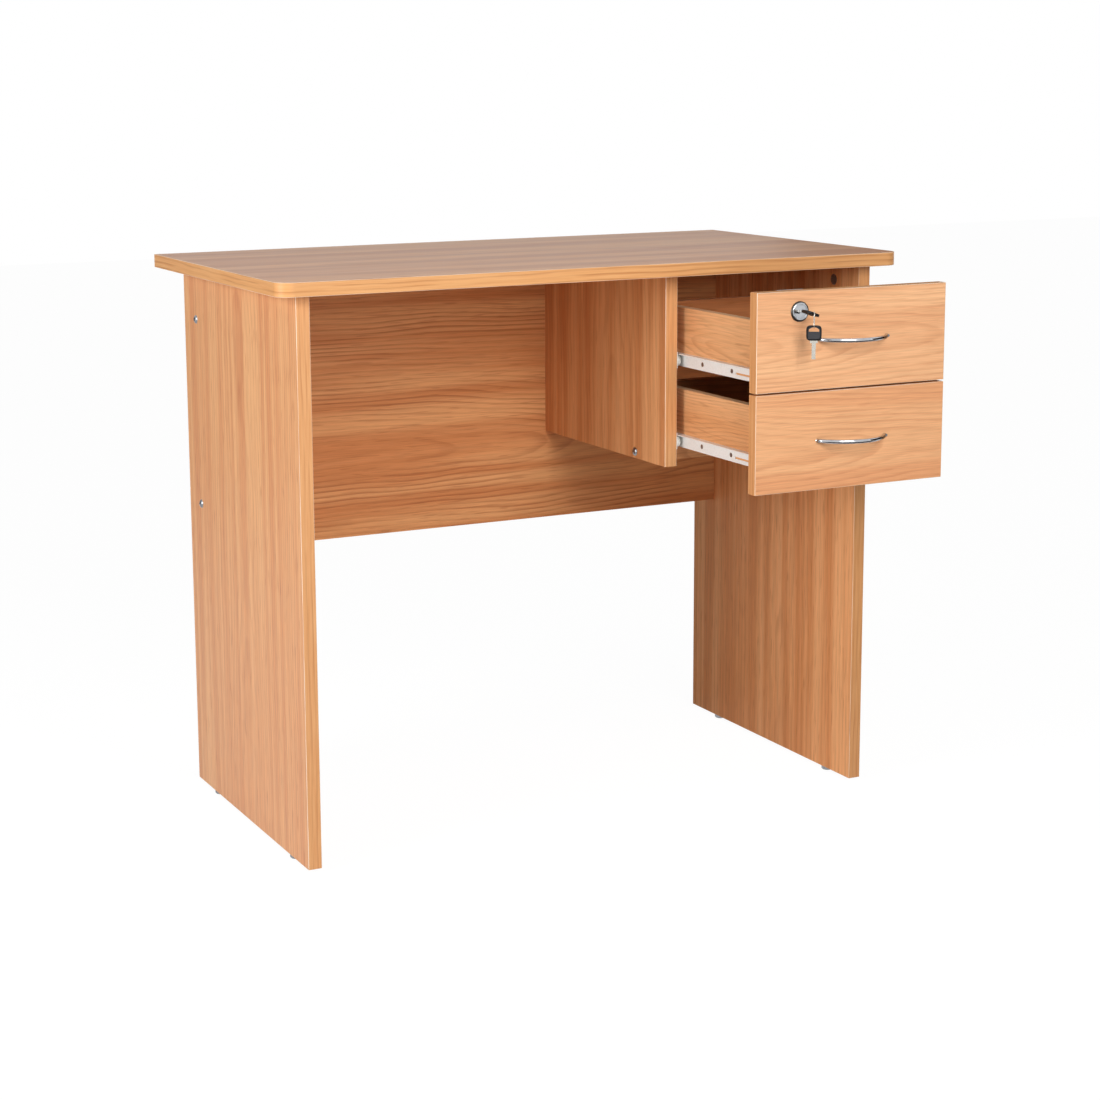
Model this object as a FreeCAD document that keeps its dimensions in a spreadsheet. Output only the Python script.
import FreeCAD, Part
import math
import os
from collections import defaultdict
from types import SimpleNamespace

import Sketcher

# Driving sizes, in millimetres and degrees.
SIZES = {
    # desk top
    "top_width": 895,
    "top_depth": 490,
    "top_height": 750,
    "top_thickness": 18,
    "top_corner_radius": 20,
    "top_band": 2,
    "band_rounding": 0.8,
    "side_overhang": 30.5,
    "top_front_overhang": 26,
    "top_back_overhang": 32,
    # upright boards and feet
    "panel_thickness": 18,
    "panel_band": 1,
    "glide_height": 6,
    "glide_radius": 8,
    "glide_rim": 1.5,
    "glide_inset": 68,
    "glide_pin_radius": 2,
    "glide_pin_length": 14,
    # modesty panel, divider and rail
    "modesty_height": 387,
    "modesty_inset": 40,
    "pedestal_width": 271,
    "divider_setback": 23,
    "divider_rise": 2.6,
    "rail_width": 70,
    "rail_setback": 47,
    # drawer fronts
    "front_thickness": 16,
    "front_height": 125.6,
    "front_band": 1,
    "front_top_gap": 7,
    "front_gap": 2.4,
    "front_side_gap": 2,
    "front_left_inset": 2.5,
    "front_closing_gap": 1,
    "drawer_hold": 97,
    # drawer boxes
    "box_back_gap": 51,
    "box_height": 77,
    "box_board": 12,
    "upper_box_rise": 7.4,
    "lower_box_rise": 5.8,
    "bottom_thickness": 3,
    "groove_rise": 8,
    "groove_depth": 5,
    "groove_play": 0.1,
    # runners and rollers
    "runner_space": 12.5,
    "runner_steel": 1.2,
    "runner_web": 17.8,
    "runner_flange": 12,
    "runner_hole_rise": 8.2,
    "runner_slot_rise": 5,
    "runner_slot_height": 2.6,
    "runner_slot_length": 75,
    "front_runner_hole": 85,
    "rear_runner_inset": 69,
    "track_width": 8,
    "track_play": 1.2,
    "channel_depth": 9,
    "channel_setback": 26,
    "cabinet_hole_inset": 60,
    "roller_radius": 8,
    "roller_width": 6,
    "roller_play": 0.3,
    "roller_side_gap": 1,
    "roller_inset": 12,
    "roller_rounding": 0.6,
    "axle_radius": 2,
    "axle_play": 0.08,
    "axle_cap_radius": 3,
    "axle_cap_thickness": 0.6,
    # fasteners
    "hole_play": 0.1,
    "screw_head_radius": 6,
    "screw_head_height": 3.2,
    "screw_radius": 2.5,
    "screw_length": 50,
    "panel_screw_inset": 66,
    "divider_screw_inset": 60,
    "cam_radius": 7.5,
    "cam_length": 12.7,
    "cam_drop": 24,
    "cam_bore": 4,
    "cam_bolt_radius": 3,
    "cam_bolt_bite": 11,
    "cam_inset": 60,
    "dowel_radius": 4,
    "dowel_length": 30,
    "dowel_bite": 11,
    "dowel_spacing": 32,
    "rail_dowel_offset": 22,
    "box_dowel_radius": 3,
    "box_dowel_bite": 10,
    "box_dowel_inset": 20,
    "wood_screw_head_radius": 3,
    "wood_screw_radius": 1.6,
    "wood_screw_length": 11,
    "screw_tip_gap": 0.2,
    "box_screw_length": 34,
    "box_screw_inset": 16,
    "box_screw_rise": 32,
    # handles
    "handle_span": 102,
    "handle_reach": 32,
    "handle_bar_radius": 2.6,
    "handle_foot_radius": 3.2,
    "handle_foot_length": 7,
    "handle_screw_radius": 1.75,
    "handle_screw_bite": 5,
    "handle_screw_head_radius": 3.8,
    "handle_screw_head_height": 2.4,
    # lock
    "lock_inset": 62.1,
    "lock_drop": 25.8,
    "bezel_radius": 13,
    "bezel_thickness": 3,
    "bezel_rounding": 1,
    "barrel_radius": 9.5,
    "plug_radius": 8,
    "plug_recess": 0.4,
    "plug_play": 0.08,
    "plug_gap": 0.5,
    "cam_disc_thickness": 2.5,
    "cam_pin_radius": 2,
    "cam_pin_play": 0.6,
    "cam_pin_short": 0.5,
    "bolt_width": 26,
    "bolt_thickness": 4,
    "bolt_travel": 12,
    "bolt_gap": 0.6,
    "bolt_foot": 4,
    "case_width": 38,
    "case_wall": 1,
    "case_drop": 17,
    "case_ear": 7,
    "case_ear_length": 26,
    "case_ear_inset": 5,
    "case_top_gap": 0.5,
    "strike_thickness": 1.2,
    "strike_width": 46,
    "strike_margin": 3.5,
    "strike_hole_inset": 4,
    "mortise_play": 1.5,
    "mortise_depth": 7,
    # keys
    "key_tilt": 20,
    "key_neck": 14.6,
    "key_head_width": 19,
    "key_head_length": 19,
    "key_head_thickness": 2.6,
    "key_head_corner": 5,
    "key_blade_width": 5,
    "key_blade_thickness": 1.8,
    "key_blade_length": 23,
    "key_shoulder_width": 9.4,
    "key_shoulder_length": 3,
    "key_tang_length": 7,
    "key_notch_radius": 0.7,
    "key_notch_spacing": 2.6,
    "key_play": 0.1,
    "key_slot_rim": 2.4,
    "key_slot_width": 13,
    "key_slot_height": 5.5,
    "key_slot_arc": 9,
    "ring_wire_radius": 0.5,
    "ring_width": 10,
    "ring_height": 20.4,
    "ring_rise": 2.8,
    "ring_inset": 1,
    "ring_twist": 30,
    "spare_play": 0.7,
}
KEY_NOTCHES = 4
FULL_TURN = 360
HALF_TURN = 180
QUARTER_TURN = 90
EDGE_TOLERANCE = 0.001


class Formula:
    """A size that carries its spreadsheet formula along with its value."""

    def __init__(self, value, text):
        self.value = float(value)
        self.text = text

    def __add__(self, other):
        other = formula(other)
        return Formula(self.value + other.value, f"({self.text} + {other.text})")

    def __sub__(self, other):
        other = formula(other)
        return Formula(self.value - other.value, f"({self.text} - {other.text})")

    def __mul__(self, other):
        other = formula(other)
        return Formula(self.value * other.value, f"({self.text} * {other.text})")

    def __truediv__(self, other):
        other = formula(other)
        return Formula(self.value / other.value, f"({self.text} / {other.text})")

    def __neg__(self):
        return ZERO - self


def formula(amount):
    """Return the amount as a formula."""
    if isinstance(amount, Formula):
        return amount
    return Formula(amount, str(amount))


def sine(angle):
    """Return the sine of an angle in degrees."""
    return Formula(math.sin(math.radians(angle.value)), f"sin({angle.text} * 1 deg)")


def cosine(angle):
    """Return the cosine of an angle in degrees."""
    return Formula(math.cos(math.radians(angle.value)), f"cos({angle.text} * 1 deg)")


ZERO = formula(0)

doc = FreeCAD.newDocument("study_desk")
sheet = doc.addObject("Spreadsheet::Sheet", "Sizes")
for row, (name, amount) in enumerate(SIZES.items(), start=1):
    sheet.set(f"A{row}", name)
    sheet.set(f"B{row}", str(amount))
    sheet.setAlias(f"B{row}", name)
s = SimpleNamespace(**{name: Formula(amount, f"Sizes.{name}") for name, amount in SIZES.items()})

places = doc.addObject("Spreadsheet::Sheet", "Places")
place_names = []


def place(name, amount):
    """Write a worked-out position into the second sheet and return it."""
    place_names.append(name)
    row = len(place_names)
    places.set(f"A{row}", name)
    places.set(f"B{row}", "=" + amount.text)
    places.setAlias(f"B{row}", name)
    return Formula(amount.value, f"Places.{name}")


# Positions across the desk, x to the right.
half_top = place("half_top", s.top_width / 2)
panel_out = place("panel_out", half_top - s.side_overhang)
panel_in = place("panel_in", panel_out - s.panel_thickness)
panel_mid = place("panel_mid", panel_out - s.panel_thickness / 2)
divider_right = place("divider_right", panel_in - s.pedestal_width)
divider_left = place("divider_left", divider_right - s.panel_thickness)
divider_mid = place("divider_mid", divider_right - s.panel_thickness / 2)
front_left = place("front_left", divider_left + s.front_left_inset)
front_right = place("front_right", panel_in - s.front_side_gap)
front_mid = place("front_mid", (front_left + front_right) / 2)
box_left = place("box_left", divider_right + s.runner_space)
box_right = place("box_right", panel_in - s.runner_space)
lock_x = place("lock_x", front_left + s.lock_inset)

# Positions along the desk, y to the back, with the open drawers and their keys inside the middle.
modesty_reach = s.modesty_inset + s.panel_thickness
panel_depth = place("panel_depth", s.top_depth - s.top_front_overhang - s.top_back_overhang)
box_length = place("box_length", panel_depth - s.divider_setback - modesty_reach - s.box_back_gap)
drawer_opening = place("drawer_opening", box_length - s.drawer_hold)
rear_runner_hole = place("rear_runner_hole", box_length - s.rear_runner_inset)
middle_runner_hole = place("middle_runner_hole", (s.front_runner_hole + rear_runner_hole) / 2)
grooved_board = s.box_board - s.groove_depth
runner_screw_length = place("runner_screw_length", s.runner_steel + grooved_board - s.screw_tip_gap)
face_setback = s.divider_setback - s.front_closing_gap - s.front_thickness
key_end = place("key_end", s.key_neck + s.key_head_length)
spare_reach = s.key_head_width / 2 * sine(s.ring_twist) + s.key_head_thickness / 2 * cosine(s.ring_twist)
key_reach = place("key_reach", key_end - s.ring_inset + spare_reach)
front_reach = place("front_reach", drawer_opening - face_setback + key_reach)
panel_front = place("panel_front", (front_reach - s.top_depth + s.top_front_overhang) / 2)
top_front = place("top_front", panel_front - s.top_front_overhang)
top_back = place("top_back", top_front + s.top_depth)
panel_back = place("panel_back", top_back - s.top_back_overhang)
modesty_back = place("modesty_back", panel_back - s.modesty_inset)
modesty_front = place("modesty_front", modesty_back - s.panel_thickness)
modesty_mid = place("modesty_mid", modesty_back - s.panel_thickness / 2)
divider_front = place("divider_front", panel_front + s.divider_setback)
rail_front = place("rail_front", divider_front + s.rail_setback)
rail_back = place("rail_back", rail_front + s.rail_width)
rail_mid = place("rail_mid", rail_front + s.rail_width / 2)
closed_back = place("closed_back", divider_front - s.front_closing_gap)
front_back = place("front_back", closed_back - drawer_opening)
front_face = place("front_face", front_back - s.front_thickness)
box_back = place("box_back", front_back + box_length)
cabinet_back = place("cabinet_back", divider_front + box_length)

# Heights above the floor.
top_under = place("top_under", s.top_height - s.top_thickness)
modesty_bottom = place("modesty_bottom", top_under - s.modesty_height)
upper_top = place("upper_top", top_under - s.front_top_gap)
upper_bottom = place("upper_bottom", upper_top - s.front_height)
lower_top = place("lower_top", upper_bottom - s.front_gap)
lower_bottom = place("lower_bottom", lower_top - s.front_height)
divider_bottom = place("divider_bottom", lower_bottom + s.divider_rise)
rail_top = place("rail_top", divider_bottom + s.panel_thickness)
upper_base = place("upper_base", upper_bottom + s.upper_box_rise)
lower_base = place("lower_base", rail_top + s.lower_box_rise)
lock_z = place("lock_z", upper_top - s.lock_drop)
cam_z = place("cam_z", top_under - s.cam_drop)

LEVELS = {
    "upper": SimpleNamespace(top=upper_top, bottom=upper_bottom, base=upper_base),
    "lower": SimpleNamespace(top=lower_top, bottom=lower_bottom, base=lower_base),
}
AXES = {
    "+x": (1, 0, 0),
    "-x": (-1, 0, 0),
    "+y": (0, 1, 0),
    "-y": (0, -1, 0),
    "+z": (0, 0, 1),
    "-z": (0, 0, -1),
}
OPPOSITE = {"+x": "-x", "-x": "+x", "+y": "-y", "-y": "+y", "+z": "-z", "-z": "+z"}

blanks = {}
cuts = defaultdict(list)
nodes = {}


def keep(name, thing):
    """Name a finished piece."""
    thing.Label = name
    nodes[name] = thing


def bind_base(thing, point):
    """Tie the placement of a thing to a point."""
    for axis, amount in zip("xyz", point):
        thing.setExpression("Placement.Base." + axis, formula(amount).text)


def along(point, direction, distance):
    """Return the point moved by a distance along a direction."""
    return tuple(
        formula(amount) + formula(distance) * step if step else formula(amount)
        for amount, step in zip(point, AXES[direction])
    )


def block(name, x, y, z):
    """Make a box between pairs of positions."""
    box = doc.addObject("Part::Box", name)
    for prop, (low, high) in zip(("Length", "Width", "Height"), (x, y, z)):
        box.setExpression(prop, (formula(high) - low).text)
    bind_base(box, (x[0], y[0], z[0]))
    return box


def rod(name, start, direction, radius, length):
    """Make a round bar that starts at a point and runs along a direction."""
    bar = doc.addObject("Part::Cylinder", name)
    turn = FreeCAD.Rotation(FreeCAD.Vector(0, 0, 1), FreeCAD.Vector(*AXES[direction]))
    bar.Placement = FreeCAD.Placement(FreeCAD.Vector(0, 0, 0), turn)
    bind_base(bar, start)
    bar.setExpression("Radius", radius.text)
    bar.setExpression("Height", formula(length).text)
    return bar


def join(name, things):
    """Fuse things into one solid."""
    fuse = doc.addObject("Part::MultiFuse", name)
    fuse.Shapes = things
    fuse.Refine = True
    return fuse


def overlap(name, first, second):
    """Keep what two things share."""
    shared = doc.addObject("Part::Common", name)
    shared.Base = first
    shared.Tool = second
    return shared


def group(name, things):
    """Hold separate solids together as one piece."""
    bundle = doc.addObject("Part::Compound", name)
    bundle.Links = things
    return bundle


def cut(name, base, tools):
    """Take tools out of a base."""
    rest = doc.addObject("Part::Cut", name)
    rest.Base = base
    rest.Tool = tools[0] if len(tools) == 1 else group(name + "_tools", tools)
    return rest


def turned_about(name, things, axis, angle, point):
    """Hold things turned about an axis through their own origin and moved to a point."""
    bundle = group(name, things)
    turn = FreeCAD.Rotation(FreeCAD.Vector(*AXES[axis]), 0)
    bundle.Placement = FreeCAD.Placement(FreeCAD.Vector(0, 0, 0), turn)
    bundle.setExpression("Placement.Rotation.Angle", formula(angle).text)
    bind_base(bundle, point)
    return bundle


def outline(body, name, role, points):
    """Draw a closed polygon on an origin plane with every corner pinned to its formulas."""
    sketch = body.newObject("Sketcher::SketchObject", name)
    plane = next(item for item in body.Origin.OriginFeatures if item.Role == role)
    sketch.AttachmentSupport = [(plane, "")]
    sketch.MapMode = "FlatFace"
    corners = [(formula(u), formula(v)) for u, v in points]
    count = len(corners)
    for index, (u, v) in enumerate(corners):
        next_u, next_v = corners[(index + 1) % count]
        start = FreeCAD.Vector(u.value, v.value, 0)
        end = FreeCAD.Vector(next_u.value, next_v.value, 0)
        sketch.addGeometry(Part.LineSegment(start, end))
    for index in range(count):
        sketch.addConstraint(Sketcher.Constraint("Coincident", index, 2, (index + 1) % count, 1))
    for index, corner in enumerate(corners):
        for kind, amount in zip(("DistanceX", "DistanceY"), corner):
            number = sketch.addConstraint(Sketcher.Constraint(kind, -1, 1, index, 1, amount.value))
            label = f"{kind}_{index}"
            sketch.renameConstraint(number, label)
            sketch.setExpression("Constraints." + label, amount.text)
    return sketch


def round_edges(body, name, base, radius, test):
    """Round those edges of a body's last feature that pass a test."""
    doc.recompute()
    whole = base.Shape.BoundBox
    edges = [f"Edge{i}" for i, edge in enumerate(base.Shape.Edges, 1) if test(edge.BoundBox, whole)]
    fillet = body.newObject("PartDesign::Fillet", name)
    fillet.Base = (base, edges)
    fillet.setExpression("Radius", radius.text)
    return fillet


def is_upright(edge, whole):
    """Tell whether an edge stands upright."""
    return edge.ZLength > EDGE_TOLERANCE


def is_front_upright(edge, whole):
    """Tell whether an upright edge is at the front."""
    return is_upright(edge, whole) and edge.YMax - whole.YMin < EDGE_TOLERANCE


def is_back_upright(edge, whole):
    """Tell whether an upright edge is at the back."""
    return is_upright(edge, whole) and whole.YMax - edge.YMin < EDGE_TOLERANCE


def is_level(edge, whole):
    """Tell whether an edge lies in the upper or the lower face."""
    return edge.ZLength < EDGE_TOLERANCE


def is_in_front_face(edge, whole):
    """Tell whether an edge bounds the front face."""
    return edge.YMax - whole.YMin < EDGE_TOLERANCE


def board(name, x, y, z, *roundings):
    """Make a board between pairs of positions and round the edges that are named."""
    body = doc.addObject("PartDesign::Body", name)
    corners = [(x[0], y[0]), (x[1], y[0]), (x[1], y[1]), (x[0], y[1])]
    pad = body.newObject("PartDesign::Pad", name + "_pad")
    pad.Profile = outline(body, name + "_outline", "XY_Plane", corners)
    pad.setExpression("Length", (formula(z[1]) - z[0]).text)
    body.setExpression("Placement.Base.z", formula(z[0]).text)
    body.Tip = pad
    for number, (radius, test) in enumerate(roundings, start=1):
        body.Tip = round_edges(body, f"{name}_rounding_{number}", body.Tip, radius, test)
    return body


def turned(name, profile, start, direction):
    """Make a turned solid from radius and height pairs, with its axis along a direction."""
    body = doc.addObject("PartDesign::Body", name)
    sketch = outline(body, name + "_profile", "XZ_Plane", profile)
    solid = body.newObject("PartDesign::Revolution", name + "_turning")
    solid.Profile = sketch
    solid.ReferenceAxis = (sketch, ["V_Axis"])
    solid.Angle = FULL_TURN
    turn = FreeCAD.Rotation(FreeCAD.Vector(0, 0, 1), FreeCAD.Vector(*AXES[direction]))
    body.Placement = FreeCAD.Placement(FreeCAD.Vector(0, 0, 0), turn)
    bind_base(body, start)
    return body


def drill(pieces, name, start, direction, radius, length):
    """Add a round hole with play to the pieces it goes through."""
    hole = rod(name, start, direction, radius + s.hole_play, formula(length) + s.hole_play)
    for piece in pieces:
        cuts[piece].append(hole)
    return hole


def pin(name, pieces, start, direction, radius, length):
    """Make a plain pin and its hole in the pieces it joins."""
    drill(pieces, name + "_hole", start, direction, radius, length)
    return rod(name, start, direction, radius, length)


def dome_screw(name, pieces, start, direction):
    """Make a dome-head screw on a face and its hole in the boards it joins."""
    rise = s.screw_head_height
    dome_radius = (s.screw_head_radius * s.screw_head_radius + rise * rise) / (rise * 2)
    ball = doc.addObject("Part::Sphere", name + "_ball")
    ball.setExpression("Radius", dome_radius.text)
    bind_base(ball, along(start, direction, dome_radius - rise))
    cap = rod(name + "_cap", start, OPPOSITE[direction], s.screw_head_radius, rise)
    head = overlap(name + "_head", ball, cap)
    shank = pin(name + "_shank", pieces, start, direction, s.screw_radius, s.screw_length)
    return join(name, [head, shank])


def flush_screw(name, first, second, start, direction, length):
    """Make a screw whose flat head is let into the first piece and that bites into the second."""
    drill([first], name + "_seat", start, direction, s.wood_screw_head_radius, s.runner_steel - s.hole_play)
    head = rod(name + "_head", start, direction, s.wood_screw_head_radius, s.runner_steel)
    shank = pin(name + "_shank", [first, second], start, direction, s.wood_screw_radius, length)
    return join(name, [head, shank])


def outward(face, direction, near, far):
    """Return the pair of positions at two distances from a face along x."""
    if direction == "+x":
        return (face + near, face + far)
    return (face - far, face - near)


def make_top():
    """Desk top and its edge band."""
    band = s.top_band
    outer = board(
        "top_outer",
        (-half_top, half_top),
        (top_front, top_back),
        (top_under, s.top_height),
        (s.top_corner_radius, is_front_upright),
        (s.band_rounding, is_level),
    )
    core = board(
        "top_core",
        (band - half_top, half_top - band),
        (top_front + band, top_back - band),
        (top_under, s.top_height),
        (s.top_corner_radius - band, is_front_upright),
    )
    blanks["desk_top"] = core
    keep("desk_top_edge_band", cut("desk_top_edge_band", outer, [core]))


def make_uprights():
    """Side panels, divider, modesty panel, rail and the edge bands of the upright boards."""
    band = s.panel_band
    rise = (s.glide_height, top_under)
    for side, x in (("left", (-panel_out, -panel_in)), ("right", (panel_in, panel_out))):
        blanks[side + "_side_panel"] = board(
            side + "_panel_blank", x, (panel_front + band, panel_back - band), rise
        )
        front = board(
            side + "_front_band",
            x,
            (panel_front, panel_front + band),
            rise,
            (s.band_rounding, is_front_upright),
        )
        back = board(
            side + "_back_band",
            x,
            (panel_back - band, panel_back),
            rise,
            (s.band_rounding, is_back_upright),
        )
        keep(side + "_panel_edge_band", group(side + "_panel_edge_band", [front, back]))
    divider_x = (divider_left, divider_right)
    divider_rise = (divider_bottom, top_under)
    blanks["divider_panel"] = board(
        "divider_blank", divider_x, (divider_front + band, modesty_front), divider_rise
    )
    divider_band = board(
        "divider_edge_band",
        divider_x,
        (divider_front, divider_front + band),
        divider_rise,
        (s.band_rounding, is_front_upright),
    )
    keep("divider_edge_band", divider_band)
    blanks["modesty_panel"] = board(
        "modesty_blank", (-panel_in, panel_in), (modesty_front, modesty_back), (modesty_bottom, top_under)
    )
    blanks["drawer_rail"] = board(
        "rail_blank", (divider_right, panel_in), (rail_front, rail_back), (divider_bottom, rail_top)
    )


def make_glides():
    """Floor glides with their pins in the side panels."""
    height = s.glide_height
    pin_top = height + s.glide_pin_length
    profile = [
        (ZERO, ZERO),
        (s.glide_radius - s.glide_rim, ZERO),
        (s.glide_radius, s.glide_rim),
        (s.glide_radius, height),
        (s.glide_pin_radius, height),
        (s.glide_pin_radius, pin_top),
        (ZERO, pin_top),
    ]
    glides = []
    for side, x in (("left", -panel_mid), ("right", panel_mid)):
        for end, y in (("front", panel_front + s.glide_inset), ("back", panel_back - s.glide_inset)):
            name = f"{side}_{end}_glide"
            glides.append(turned(name, profile, (x, y, ZERO), "+z"))
            pieces = [side + "_side_panel"]
            drill(pieces, name + "_hole", (x, y, height), "+z", s.glide_pin_radius, s.glide_pin_length)
    keep("floor_glides", group("floor_glides", glides))


def make_panel_screws():
    """Dome-head screws that hold the modesty panel, the divider and the rail."""
    low = modesty_bottom + s.panel_screw_inset
    high = top_under - s.panel_screw_inset
    rail_z = divider_bottom + s.panel_thickness / 2
    screws = []
    for side, x, inward in (("left", -panel_out, "+x"), ("right", panel_out, "-x")):
        for level, z in (("low", low), ("high", high)):
            pieces = [side + "_side_panel", "modesty_panel"]
            screws.append(dome_screw(f"{side}_{level}_screw", pieces, (x, modesty_mid, z), inward))
    for piece, x, inward in (("divider_panel", divider_left, "+x"), ("right_side_panel", panel_out, "-x")):
        screws.append(dome_screw(piece + "_rail_screw", [piece, "drawer_rail"], (x, rail_mid, rail_z), inward))
    for level, z in (("low", divider_bottom + s.divider_screw_inset), ("high", high)):
        pieces = ["modesty_panel", "divider_panel"]
        screws.append(dome_screw(f"divider_{level}_screw", pieces, (divider_mid, modesty_back, z), "-y"))
    keep("panel_screws", group("panel_screws", screws))


def make_top_joints():
    """Cam locks, cam bolts and dowels that hold the desk top and steady the rail."""
    joints = [
        ("left_side_panel", -panel_mid, -panel_in, "-x", panel_front, panel_back),
        ("right_side_panel", panel_mid, panel_in, "+x", panel_front, panel_back),
        ("divider_panel", divider_mid, divider_right, "-x", divider_front, modesty_front),
    ]
    cams = []
    bolts = []
    dowels = []
    foot = cam_z - s.cam_bore
    for piece, mid, face, inward, front, back in joints:
        ends = (("front", front + s.cam_inset, s.dowel_spacing), ("back", back - s.cam_inset, -s.dowel_spacing))
        for end, y, step in ends:
            name = f"{piece}_{end}"
            drill([piece], name + "_cam_hole", (face, y, cam_z), inward, s.cam_radius, s.cam_length)
            length = top_under - foot + s.cam_bolt_bite
            hole = drill(
                [piece, "desk_top"], name + "_bolt_hole", (mid, y, foot), "+z", s.cam_bolt_radius, length
            )
            barrel = rod(name + "_cam_barrel", (face, y, cam_z), inward, s.cam_radius, s.cam_length)
            cams.append(cut(name + "_cam", barrel, [hole]))
            bolts.append(rod(name + "_bolt", (mid, y, foot), "+z", s.cam_bolt_radius, length))
            low = top_under + s.dowel_bite - s.dowel_length
            dowels.append(
                pin(
                    name + "_dowel",
                    [piece, "desk_top"],
                    (mid, y + step, low),
                    "+z",
                    s.dowel_radius,
                    s.dowel_length,
                )
            )
    dowel_y = rail_mid + s.rail_dowel_offset
    dowel_z = divider_bottom + s.panel_thickness / 2
    for piece, x, inward in (
        ("divider_panel", divider_right - s.dowel_bite, "+x"),
        ("right_side_panel", panel_in + s.dowel_bite, "-x"),
    ):
        pieces = [piece, "drawer_rail"]
        start = (x, dowel_y, dowel_z)
        dowels.append(pin(piece + "_rail_dowel", pieces, start, inward, s.dowel_radius, s.dowel_length))
    keep("cam_locks", group("cam_locks", cams))
    keep("cam_bolts", group("cam_bolts", bolts))
    keep("wood_dowels", group("wood_dowels", dowels))


def roller_z(base):
    """Return the height of the roller axles of a drawer."""
    return base + s.runner_web - s.runner_steel - s.roller_play - s.roller_radius


def axle(name, face, outward_direction, y, z):
    """Return the axle and the cap that hold a roller beside a runner web."""
    roller_end = s.runner_steel + s.roller_side_gap + s.roller_width
    cap_start = roller_end + s.roller_play
    shaft = rod(name + "_shaft", (face, y, z), outward_direction, s.axle_radius, cap_start + s.axle_cap_thickness)
    start = along((face, y, z), outward_direction, cap_start)
    cap = rod(name + "_cap", start, outward_direction, s.axle_cap_radius, s.axle_cap_thickness)
    return [shaft, cap]


def roller(name, face, outward_direction, y, z):
    """Make the roller that turns on an axle."""
    bore = s.axle_radius + s.axle_play
    edge = s.roller_rounding
    profile = [
        (bore, ZERO),
        (s.roller_radius - edge, ZERO),
        (s.roller_radius, edge),
        (s.roller_radius, s.roller_width - edge),
        (s.roller_radius - edge, s.roller_width),
        (bore, s.roller_width),
    ]
    start = along((face, y, z), outward_direction, s.runner_steel + s.roller_side_gap)
    return turned(name, profile, start, outward_direction)


def make_cabinet_runners(level):
    """Cabinet members of a drawer's two runners, their front rollers and their screws."""
    axle_z = roller_z(LEVELS[level].base)
    axle_y = divider_front + s.roller_inset
    floor = axle_z - s.roller_radius - s.roller_play
    bottom = floor - s.runner_steel
    ceiling = LEVELS[level].base + s.runner_web + s.track_play
    top = ceiling + s.runner_steel
    channel = (divider_front + s.channel_setback, cabinet_back)
    rollers = []
    screws = []
    for side, face, away, into, piece in (
        ("left", divider_right, "+x", "-x", "divider_panel"),
        ("right", panel_in, "-x", "+x", "right_side_panel"),
    ):
        name = f"{level}_{side}_cabinet_runner"
        web_x = outward(face, away, ZERO, s.runner_steel)
        channel_x = outward(face, away, ZERO, s.channel_depth)
        web = block(name + "_web", web_x, (divider_front + s.panel_band, cabinet_back), (bottom, top))
        low = block(name + "_floor", channel_x, channel, (bottom, floor))
        high = block(name + "_ceiling", channel_x, channel, (ceiling, top))
        shaft = axle(name + "_axle", face, away, axle_y, axle_z)
        blanks[name] = join(name + "_blank", [web, low, high] + shaft)
        rollers.append(roller(f"{level}_{side}_cabinet_roller", face, away, axle_y, axle_z))
        inner = face + s.runner_steel if away == "+x" else face - s.runner_steel
        for end, y in (
            ("front", divider_front + s.cabinet_hole_inset),
            ("back", cabinet_back - s.cabinet_hole_inset),
        ):
            start = (inner, y, axle_z)
            screws.append(flush_screw(f"{name}_{end}_screw", name, piece, start, into, s.wood_screw_length))
    keep(level + "_cabinet_rollers", group(level + "_cabinet_rollers", rollers))
    return screws


def make_drawer_runners(level):
    """Drawer members of a drawer's two runners, their rear rollers and their screws."""
    base = LEVELS[level].base
    axle_z = roller_z(base)
    axle_y = box_back - s.roller_inset
    length = (front_back, box_back)
    web_top = base + s.runner_web
    slot_low = base + s.runner_slot_rise
    rollers = []
    screws = []
    for side, face, away, into in (("left", box_left, "-x", "+x"), ("right", box_right, "+x", "-x")):
        name = f"{level}_{side}_drawer_runner"
        web_x = outward(face, away, ZERO, s.runner_steel)
        track_x = outward(face, away, ZERO, s.runner_steel + s.track_width)
        flange_x = outward(face, into, -s.runner_steel, s.runner_flange)
        web = block(name + "_web", web_x, length, (base, web_top))
        flange = block(name + "_flange", flange_x, length, (base, base + s.runner_steel))
        track = block(name + "_track", track_x, length, (web_top - s.runner_steel, web_top))
        shaft = axle(name + "_axle", face, away, axle_y, axle_z)
        blanks[name] = join(name + "_blank", [web, flange, track] + shaft)
        slot = block(
            name + "_slot",
            web_x,
            (front_back, front_back + s.runner_slot_length),
            (slot_low, slot_low + s.runner_slot_height),
        )
        cuts[name].append(slot)
        rollers.append(roller(f"{level}_{side}_drawer_roller", face, away, axle_y, axle_z))
        outer = face - s.runner_steel if away == "-x" else face + s.runner_steel
        for end, step in (
            ("front", s.front_runner_hole),
            ("middle", middle_runner_hole),
            ("rear", rear_runner_hole),
        ):
            start = (outer, front_back + step, base + s.runner_hole_rise)
            board_name = f"{level}_drawer_{side}_side"
            screws.append(
                flush_screw(f"{name}_{end}_screw", name, board_name, start, into, runner_screw_length)
            )
    keep(level + "_drawer_rollers", group(level + "_drawer_rollers", rollers))
    return screws


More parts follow.
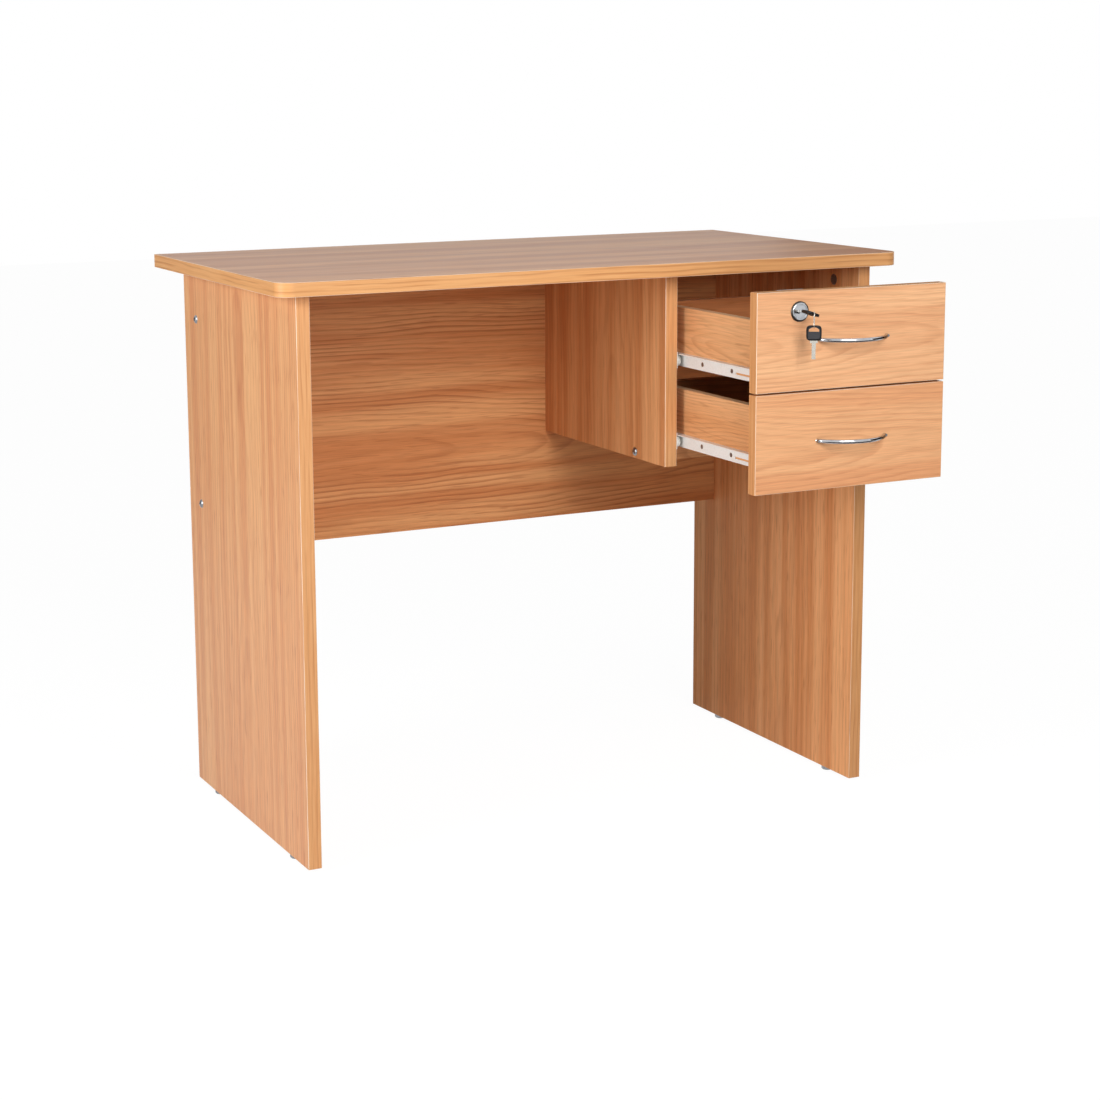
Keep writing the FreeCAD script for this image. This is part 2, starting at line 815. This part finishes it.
def make_drawer_box(level):
    """Front, sides, back and bottom of a drawer with the dowels and screws that join them."""
    base = LEVELS[level].base
    low = base + s.runner_steel
    high = low + s.box_height
    front = level + "_drawer_front"
    left = level + "_drawer_left_side"
    right = level + "_drawer_right_side"
    back = level + "_drawer_back"
    band = s.front_band
    front_y = (front_face, front_back)
    outer = board(
        level + "_front_outer",
        (front_left, front_right),
        front_y,
        (LEVELS[level].bottom, LEVELS[level].top),
        (s.band_rounding, is_in_front_face),
    )
    core = board(
        level + "_front_core",
        (front_left + band, front_right - band),
        front_y,
        (LEVELS[level].bottom + band, LEVELS[level].top - band),
    )
    blanks[front] = core
    keep(level + "_front_edge_band", cut(level + "_front_edge_band", outer, [core]))
    inner_left = box_left + s.box_board
    inner_right = box_right - s.box_board
    length = (front_back, box_back)
    blanks[left] = board(left + "_blank", (box_left, inner_left), length, (low, high))
    blanks[right] = board(right + "_blank", (inner_right, box_right), length, (low, high))
    groove_low = low + s.groove_rise
    groove_high = groove_low + s.bottom_thickness + s.groove_play * 2
    blanks[back] = board(
        back + "_blank", (inner_left, inner_right), (box_back - s.box_board, box_back), (groove_high, high)
    )
    groove = block(
        level + "_groove",
        (inner_left - s.groove_depth, inner_right + s.groove_depth),
        (front_back - s.groove_depth, box_back),
        (groove_low, groove_high),
    )
    for piece in (front, left, right):
        cuts[piece].append(groove)
    sheet_edge = s.groove_depth - s.groove_play
    panel = board(
        level + "_drawer_bottom",
        (inner_left - sheet_edge, inner_right + sheet_edge),
        (front_back - sheet_edge, box_back),
        (groove_low + s.groove_play, groove_high - s.groove_play),
    )
    keep(level + "_drawer_bottom", panel)
    dowels = []
    screws = []
    for piece, mid, face, into in (
        (left, box_left + s.box_board / 2, box_left, "+x"),
        (right, box_right - s.box_board / 2, box_right, "-x"),
    ):
        for end, z in (("low", low + s.box_dowel_inset), ("high", high - s.box_dowel_inset)):
            start = (mid, front_back - s.box_dowel_bite, z)
            dowels.append(
                pin(f"{piece}_{end}_dowel", [front, piece], start, "+y", s.box_dowel_radius, s.dowel_length)
            )
        for end, z in (("low", low + s.box_screw_rise), ("high", high - s.box_screw_inset)):
            start = (face, box_back - s.box_board / 2, z)
            screws.append(flush_screw(f"{piece}_{end}_screw", piece, back, start, into, s.box_screw_length))
    keep(level + "_drawer_dowels", group(level + "_drawer_dowels", dowels))
    return screws


def make_handle(level):
    """Bow handle of a drawer and the two screws that hold it."""
    name = level + "_handle"
    front = level + "_drawer_front"
    z = (LEVELS[level].top + LEVELS[level].bottom) / 2
    half = s.handle_span / 2
    rise = s.handle_reach - s.handle_bar_radius
    bow_radius = (half * half + rise * rise) / (rise * 2)
    bow = doc.addObject("Part::Torus", name + "_bow")
    bow.setExpression("Radius1", bow_radius.text)
    bow.setExpression("Radius2", s.handle_bar_radius.text)
    bow.Angle3 = HALF_TURN
    turn = FreeCAD.Rotation(FreeCAD.Vector(0, 0, 1), HALF_TURN)
    bow.Placement = FreeCAD.Placement(FreeCAD.Vector(0, 0, 0), turn)
    bind_base(bow, (front_mid, front_face - rise + bow_radius, z))
    reach = s.handle_reach + s.handle_bar_radius
    room = block(
        name + "_room",
        (front_mid - half - s.handle_foot_radius, front_mid + half + s.handle_foot_radius),
        (front_face - reach, front_face),
        (z - s.handle_foot_radius, z + s.handle_foot_radius),
    )
    parts = [overlap(name + "_arc", bow, room)]
    screws = []
    length = s.front_thickness + s.handle_screw_bite
    for end, x in (("left", front_mid - half), ("right", front_mid + half)):
        parts.append(
            rod(f"{name}_{end}_foot", (x, front_face, z), "-y", s.handle_foot_radius, s.handle_foot_length)
        )
        start = (x, front_back, z)
        shank = pin(f"{name}_{end}_shank", [front, name], start, "-y", s.handle_screw_radius, length)
        head = rod(f"{name}_{end}_head", start, "+y", s.handle_screw_head_radius, s.handle_screw_head_height)
        screws.append(join(f"{name}_{end}_screw", [shank, head]))
    blanks[name] = join(name + "_blank", parts)
    keep(level + "_handle_screws", group(level + "_handle_screws", screws))


def make_lock():
    """Lock case, barrel with bezel, plug with cam, bolt and strike plate."""
    screws = []
    offset = s.bolt_travel / 2
    centre = (lock_x, front_face, lock_z)
    thick = -s.front_thickness
    collar = s.bezel_thickness
    bore = s.plug_radius + s.plug_play
    bezel = turned(
        "lock_bezel",
        [
            (bore, thick),
            (s.barrel_radius, thick),
            (s.barrel_radius, ZERO),
            (s.bezel_radius, ZERO),
            (s.bezel_radius, collar - s.bezel_rounding),
            (s.bezel_radius - s.bezel_rounding, collar),
            (bore, collar),
        ],
        centre,
        "-y",
    )
    keep("lock_bezel", bezel)
    drill(["upper_drawer_front"], "barrel_hole", centre, "+y", s.barrel_radius, s.front_thickness)
    disc_radius = offset + offset / 2 + s.cam_pin_radius
    disc_front = thick - s.plug_gap
    disc_back = disc_front - s.cam_disc_thickness
    barrel = turned(
        "plug_barrel",
        [
            (ZERO, disc_back),
            (disc_radius, disc_back),
            (disc_radius, disc_front),
            (s.plug_radius, disc_front),
            (s.plug_radius, collar - s.plug_recess),
            (ZERO, collar - s.plug_recess),
        ],
        centre,
        "-y",
    )
    bolt_front = front_back + s.plug_gap + s.cam_disc_thickness + s.bolt_gap
    bolt_back = bolt_front + s.bolt_thickness
    pin_start = (lock_x + offset, front_face - disc_back, lock_z - offset)
    pin_length = s.bolt_gap + s.bolt_thickness - s.cam_pin_short
    cam_pin = rod("plug_pin", pin_start, "+y", s.cam_pin_radius, pin_length)
    blanks["lock_plug"] = join("plug_blank", [barrel, cam_pin])
    slot_half = s.cam_pin_radius + s.cam_pin_play
    foot = lock_z - offset - slot_half - s.bolt_foot
    half_bolt = s.bolt_width / 2
    bolt_x = (lock_x - half_bolt, lock_x + half_bolt)
    bolt_y = (bolt_front, bolt_back)
    blanks["lock_bolt"] = board("bolt_blank", bolt_x, bolt_y, (foot, upper_top - s.case_top_gap))
    cuts["lock_bolt"].append(
        block(
            "bolt_slot",
            (lock_x + offset - slot_half, lock_x + offset + offset / 2 + slot_half),
            bolt_y,
            (lock_z - offset - slot_half, lock_z - offset + slot_half),
        )
    )
    wall = s.case_wall
    half_case = s.case_width / 2
    case_low = lock_z - s.case_drop
    case_high = upper_top - s.case_top_gap
    case_back = bolt_back + s.bolt_gap + wall
    shell = block(
        "case_shell", (lock_x - half_case, lock_x + half_case), (front_back, case_back), (case_low, case_high)
    )
    ear_z = (case_high - s.case_ear_length - s.case_ear_inset, case_high - s.case_ear_inset)
    ear_x = (lock_x - half_case - s.case_ear, lock_x + half_case + s.case_ear)
    ears = block("case_ears", ear_x, (front_back, front_back + s.runner_steel), ear_z)
    blanks["lock_case"] = join("case_blank", [shell, ears])
    hollow = block(
        "case_hollow",
        (lock_x - half_case + wall, lock_x + half_case - wall),
        (front_back, case_back - wall),
        (case_low + wall, case_high - wall),
    )
    gap = s.bolt_gap / 2
    mouth = block(
        "case_mouth",
        (lock_x - half_bolt - gap, lock_x + half_bolt + gap),
        (bolt_front - gap, bolt_back + gap),
        (case_high - wall, case_high),
    )
    cuts["lock_case"] += [hollow, mouth]
    for side, x in (
        ("left", ear_x[0] + s.case_ear / 2),
        ("right", ear_x[1] - s.case_ear / 2),
    ):
        for level, z in (("low", ear_z[0] + s.case_ear / 2), ("high", ear_z[1] - s.case_ear / 2)):
            start = (x, front_back + s.runner_steel, z)
            screws.append(
                flush_screw(
                    f"lock_{side}_{level}_screw",
                    "lock_case",
                    "upper_drawer_front",
                    start,
                    "-y",
                    s.wood_screw_length,
                )
            )
    return screws


def make_strike():
    """Strike plate under the desk top, its mortise and its screws."""
    half_bolt = s.bolt_width / 2 + s.mortise_play
    bolt_front = closed_back + s.plug_gap + s.cam_disc_thickness + s.bolt_gap
    mortise_y = (bolt_front - s.mortise_play, bolt_front + s.bolt_thickness + s.mortise_play)
    plate_low = top_under - s.strike_thickness
    mortise = block(
        "mortise",
        (lock_x - half_bolt, lock_x + half_bolt),
        mortise_y,
        (plate_low, top_under + s.mortise_depth),
    )
    half_plate = s.strike_width / 2
    plate = board(
        "strike_blank",
        (lock_x - half_plate, lock_x + half_plate),
        (mortise_y[0] - s.strike_margin, mortise_y[1] + s.strike_margin),
        (plate_low, top_under),
    )
    blanks["lock_strike_plate"] = plate
    cuts["lock_strike_plate"].append(mortise)
    cuts["desk_top"].append(mortise)
    screws = []
    y = (mortise_y[0] + mortise_y[1]) / 2
    for side, x in (
        ("left", lock_x - half_plate + s.strike_hole_inset),
        ("right", lock_x + half_plate - s.strike_hole_inset),
    ):
        start = (x, y, plate_low)
        name = f"strike_{side}_screw"
        screws.append(flush_screw(name, "lock_strike_plate", "desk_top", start, "+z", s.wood_screw_length))
    return screws


def key_slot(name):
    """Return the half-moon slot of a key head, in the key's own frame."""
    apex = s.key_slot_rim - key_end
    half = s.key_slot_width / 2
    half_thick = s.key_head_thickness / 2
    field = block(
        name + "_field", (-half, half), (apex, apex + s.key_slot_height), (-half_thick, half_thick)
    )
    arc = rod(
        name + "_arc", (ZERO, apex + s.key_slot_arc, -half_thick), "+z", s.key_slot_arc, s.key_head_thickness
    )
    return overlap(name, field, arc)


def key_metal(name):
    """Return a key's blade with shoulder and tang, in the key's own frame."""
    half_thick = s.key_blade_thickness / 2
    z = (-half_thick, half_thick)
    half_blade = s.key_blade_width / 2
    half_shoulder = s.key_shoulder_width / 2
    neck = -s.key_neck
    tip = neck + s.key_blade_length
    blade = block(name + "_bit", (-half_blade, half_blade), (neck, tip), z)
    collar_y = (neck - s.key_tang_length, neck + s.key_shoulder_length)
    collar = block(name + "_collar", (-half_shoulder, half_shoulder), collar_y, z)
    notches = [
        rod(
            f"{name}_notch_{number}",
            (half_blade, tip - s.key_notch_spacing * (number + 1), -half_thick),
            "+z",
            s.key_notch_radius,
            s.key_blade_thickness,
        )
        for number in range(KEY_NOTCHES)
    ]
    return cut(name, join(name + "_blank", [blade, collar]), notches)


def key_grip(name):
    """Return a key's moulded head with its slot and the pocket for the tang, in the key's own frame."""
    half = s.key_head_width / 2
    half_thick = s.key_head_thickness / 2
    head = board(
        name + "_blank",
        (-half, half),
        (-key_end, -s.key_neck),
        (-half_thick, half_thick),
        (s.key_head_corner, is_upright),
    )
    half_shoulder = s.key_shoulder_width / 2
    half_blade = s.key_blade_thickness / 2
    pocket = block(
        name + "_pocket",
        (-half_shoulder, half_shoulder),
        (-s.key_neck - s.key_tang_length, -s.key_neck),
        (-half_blade, half_blade),
    )
    return cut(name, head, [key_slot(name + "_slot"), pocket])


def make_keys():
    """Key in the lock, key ring and spare key."""
    centre = (lock_x, front_face, lock_z)
    half_way = s.key_blade_width / 2 + s.key_play
    half_thick = s.key_blade_thickness / 2 + s.key_play
    keyway = block(
        "keyway_local",
        (-half_way, half_way),
        (-s.bezel_thickness, s.key_blade_length - s.key_neck + s.key_play),
        (-half_thick, half_thick),
    )
    cuts["lock_plug"].append(turned_about("keyway", [keyway], "+y", s.key_tilt, centre))
    for name, maker in (("key_blade", key_metal), ("key_head", key_grip)):
        keep(name, turned_about(name, [maker(name + "_local")], "+y", s.key_tilt, centre))
    radius = s.ring_width / 2
    wire = s.ring_wire_radius
    straight = s.ring_height - s.ring_width
    ring_parts = []
    for end, height, angle in (("upper", straight, ZERO), ("lower", ZERO, formula(HALF_TURN))):
        bend = doc.addObject("Part::Torus", end + "_bend")
        bend.setExpression("Radius1", radius.text)
        bend.setExpression("Radius2", wire.text)
        bend.Angle3 = HALF_TURN
        lying = turned_about(end + "_bend_standing", [bend], "+x", QUARTER_TURN, (ZERO, ZERO, ZERO))
        ring_parts.append(turned_about(end + "_bend_placed", [lying], "+y", angle, (ZERO, ZERO, height)))
    for side, x in (("near", -radius), ("far", radius)):
        ring_parts.append(rod(side + "_side", (x, ZERO, ZERO), "+z", wire, straight))
    loop = join("ring_loop", ring_parts)
    ring_y = front_face - key_end + s.ring_inset
    ring_low = lock_z + s.ring_rise - s.ring_height
    across = formula(QUARTER_TURN) - s.ring_twist
    keep("key_ring", turned_about("key_ring", [loop], "+z", across, (lock_x, ring_y, ring_low + radius)))
    hook = ring_low + wire + s.spare_play
    base = (lock_x, ring_y, hook - key_end + s.key_slot_rim)
    for name, maker in (("spare_key_blade", key_metal), ("spare_key_head", key_grip)):
        hanging = turned_about(
            name + "_hanging", [maker(name + "_local")], "-x", QUARTER_TURN, (ZERO, ZERO, ZERO)
        )
        keep(name, turned_about(name, [hanging], "-z", s.ring_twist, base))


make_top()
make_uprights()
make_glides()
make_panel_screws()
make_top_joints()
carcass_screws = make_strike()
for level in LEVELS:
    carcass_screws += make_cabinet_runners(level)
    drawer_screws = make_drawer_box(level) + make_drawer_runners(level)
    make_handle(level)
    if level == "upper":
        drawer_screws += make_lock()
    keep(level + "_drawer_wood_screws", group(level + "_drawer_wood_screws", drawer_screws))
keep("carcass_wood_screws", group("carcass_wood_screws", carcass_screws))
make_keys()
for name, blank in blanks.items():
    keep(name, cut(name, blank, cuts[name]))

doc.recompute()
faulty = [item.Name for item in doc.Objects if "Invalid" in item.State or "Error" in item.State]
if faulty:
    raise RuntimeError("features that failed: " + ", ".join(faulty))
os.makedirs("parts", exist_ok=True)
for name, thing in nodes.items():
    if thing.Shape.isNull() or not thing.Shape.isValid():
        raise RuntimeError("no valid shape: " + name)
    thing.Shape.exportStep(f"parts/{name}.step")
    box = thing.Shape.BoundBox
    low = f"{box.XMin:.2f} {box.YMin:.2f} {box.ZMin:.2f}"
    high = f"{box.XMax:.2f} {box.YMax:.2f} {box.ZMax:.2f}"
    print(f"{name}: {len(thing.Shape.Solids)} solids, {low} to {high}")
print(len(nodes), "nodes")
